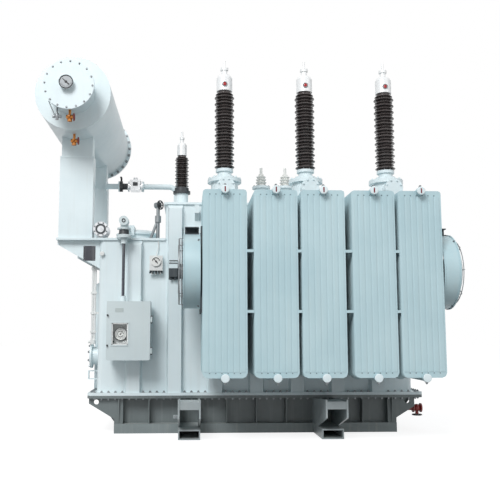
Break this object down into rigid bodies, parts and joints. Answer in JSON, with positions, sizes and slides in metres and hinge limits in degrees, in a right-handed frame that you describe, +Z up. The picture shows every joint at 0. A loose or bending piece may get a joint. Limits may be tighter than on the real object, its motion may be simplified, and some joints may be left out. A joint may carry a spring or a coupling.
{
  "type": "skid-mounted transformer",
  "caption": "Oil-filled power transformer with plate radiators, end fans, an overhead conservator drum, tall brown bushings and a tap changer drive, on a skid base",
  "frame": {"origin": "ground under the middle of the overall box", "axes": "X along the tank towards the end without the conservator, Y from the high-voltage front to the back, Z up"},
  "size_m": [5.3489, 4.49, 5.16],
  "materials": {
    "painted_steel": "semi-gloss",
    "base_paint": "satin",
    "cabinet_paint": "satin",
    "brown_porcelain": "glossy",
    "white_porcelain": "glossy",
    "bare_metal": "satin",
    "pale_plastic": "matte",
    "dark_metal": "satin",
    "brass": "satin",
    "red_paint": "satin",
    "window_glass": "clear"
  },
  "bodies": {
    "transformer": {"base_rails": "base_paint", "bell_flange": "painted_steel", "bevel_gearbox": "cabinet_paint", "breather": "pale_plastic", "bushing_terminals": "bare_metal", "chamber_cover": "painted_steel", "conservator_drum": "painted_steel", "conservator_pillars": "painted_steel", "conservator_rear_cover": "painted_steel", "conservator_valves": "brass", "deck_valve": "bare_metal", "drain_valve": "red_paint", "drive_cabinet": "cabinet_paint", "drive_shaft": "bare_metal", "fan_cowls": "painted_steel", "fan_guards": "bare_metal", "fan_impellers": "dark_metal", "fan_mounts": "painted_steel", "filter_valve": "bare_metal", "front_radiator_1": "painted_steel", "front_radiator_2": "painted_steel", "front_radiator_3": "painted_steel", "front_radiator_4": "painted_steel", "front_radiator_5": "painted_steel", "gas_relay": "bare_metal", "hv_insulators": "brown_porcelain", "hv_turrets": "painted_steel", "jack_brackets": "base_paint", "junction_box": "dark_metal", "lifting_hooks": "painted_steel", "lower_tank": "painted_steel", "lv_insulators": "white_porcelain", "lv_turrets": "painted_steel", "neutral_insulator": "brown_porcelain", "neutral_turret": "dark_metal", "oil_level_gauge": "pale_plastic", "oil_pipes": "painted_steel", "oil_thermometer": "pale_plastic", "pipe_valve": "dark_metal", "position_indicator": "pale_plastic", "radiator_stubs": "painted_steel", "radiator_ties": "painted_steel", "rear_radiator_1": "painted_steel", "rear_radiator_2": "painted_steel", "rear_radiator_3": "painted_steel", "rear_radiator_4": "painted_steel", "rear_radiator_5": "painted_steel", "side_valve": "painted_steel", "skid_beams": "base_paint", "tank_bell": "painted_steel", "tank_cover": "painted_steel", "tank_stiffeners": "painted_steel", "tap_changer_chamber": "painted_steel", "tap_changer_deck": "painted_steel", "tap_changer_head": "painted_steel", "valve_wheels": "dark_metal"},
    "door": {"cabinet_door": "cabinet_paint", "cabinet_window": "window_glass"}
  },
  "joints": [
    {"name": "cabinet_door_hinge", "type": "hinge", "parent": "transformer", "child": "door", "pos_m": [-1.0885, -1.306, 1.3175], "axis": [0, 0, 1], "range_deg": [0, 110]}
  ]
}
